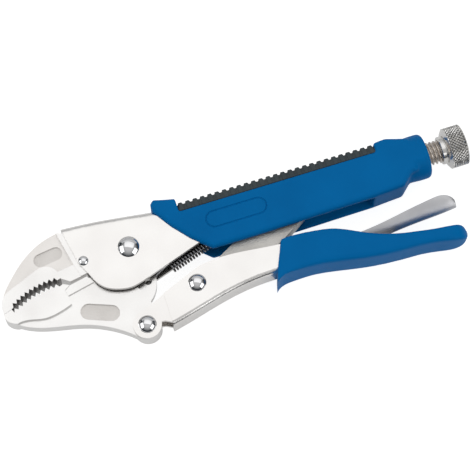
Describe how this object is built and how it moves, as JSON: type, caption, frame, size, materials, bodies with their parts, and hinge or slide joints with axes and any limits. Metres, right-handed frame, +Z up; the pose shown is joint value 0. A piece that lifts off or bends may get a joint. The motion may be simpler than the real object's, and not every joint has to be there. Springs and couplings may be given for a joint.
{
  "type": "locking pliers",
  "caption": "Locking pliers with curved toothed jaws, a toggle link, a spring-opened jaw, a release lever, moulded grips and a knurled adjusting screw.",
  "frame": {"origin": "under the middle of the tool's bounding box, on the plane that the tool lies on with its side down", "axes": "+X along the upper handle from the jaws to the adjusting knob, +Y across the tool from the lower handle to the upper handle, +Z up through the tool's thickness"},
  "size_m": [0.2464, 0.0667, 0.0216],
  "materials": {
    "plated_sheet": "satin nickel plate",
    "plated_forging": "satin nickel plate over a forged surface",
    "bright_rivet": "polished",
    "spring_steel": "dark oil-tempered wire",
    "blasted_link": "bead blasted and plated",
    "plated_lever": "satin",
    "screw_steel": "rolled thread, satin",
    "knob_steel": "diamond knurled",
    "blue_grip": "satin moulded",
    "grey_insert": "matt"
  },
  "bodies": {
    "frame": {"upper_frame": "plated_sheet", "fixed_jaw": "plated_forging", "fixed_jaw_rivet": "bright_rivet", "main_pivot_rivet": "bright_rivet", "spring_anchor_pin": "bright_rivet", "return_spring": "spring_steel", "screw_bush": "plated_sheet", "upper_grip": "blue_grip", "upper_grip_insert": "grey_insert"},
    "moving_jaw": {"moving_jaw": "plated_forging"},
    "lower_handle": {"lower_handle": "plated_sheet", "handle_pivot_rivet": "bright_rivet", "link_rivet": "bright_rivet", "lever_pin": "bright_rivet", "lower_grip": "blue_grip"},
    "toggle_link": {"toggle_link": "blasted_link"},
    "release_lever": {"release_lever": "plated_lever"},
    "adjusting_screw": {"adjusting_screw": "screw_steel"},
    "adjusting_knob": {"adjusting_knob": "knob_steel"}
  },
  "joints": [
    {"name": "jaw_pivot", "type": "hinge", "parent": "frame", "child": "moving_jaw", "pos_m": [-0.05479, 0.01385, 0.0108], "axis": [0, 0, 1], "range_deg": [0, 20], "deforming": ["return_spring"]},
    {"name": "handle_pivot", "type": "hinge", "parent": "moving_jaw", "child": "lower_handle", "pos_m": [-0.05729, -0.02625, 0.0108], "axis": [0, 0, 1], "range_deg": [-64, 0]},
    {"name": "link_pivot", "type": "hinge", "parent": "lower_handle", "child": "toggle_link", "pos_m": [-0.02779, -0.01375, 0.0108], "axis": [0, 0, 1], "range_deg": [0, 64]},
    {"name": "lever_pivot", "type": "hinge", "parent": "lower_handle", "child": "release_lever", "pos_m": [0.04621, -0.01665, 0.0108], "axis": [0, 0, 1], "range_deg": [-8, 0]},
    {"name": "screw_travel", "type": "slide", "parent": "frame", "child": "adjusting_screw", "axis": [1, 0, 0], "range_m": [0, 0.012]},
    {"name": "knob_turn", "type": "hinge", "parent": "adjusting_screw", "child": "adjusting_knob", "pos_m": [0.11521, 0.01715, 0.0108], "axis": [1, 0, 0], "range_deg": [0, 2160]}
  ],
  "couplings": [
    {"joint": "handle_pivot", "follows": "jaw_pivot", "ratio": -3.2},
    {"joint": "link_pivot", "follows": "jaw_pivot", "ratio": 3.2},
    {"joint": "knob_turn", "follows": "screw_travel", "rad_per_m": 3141.6}
  ]
}
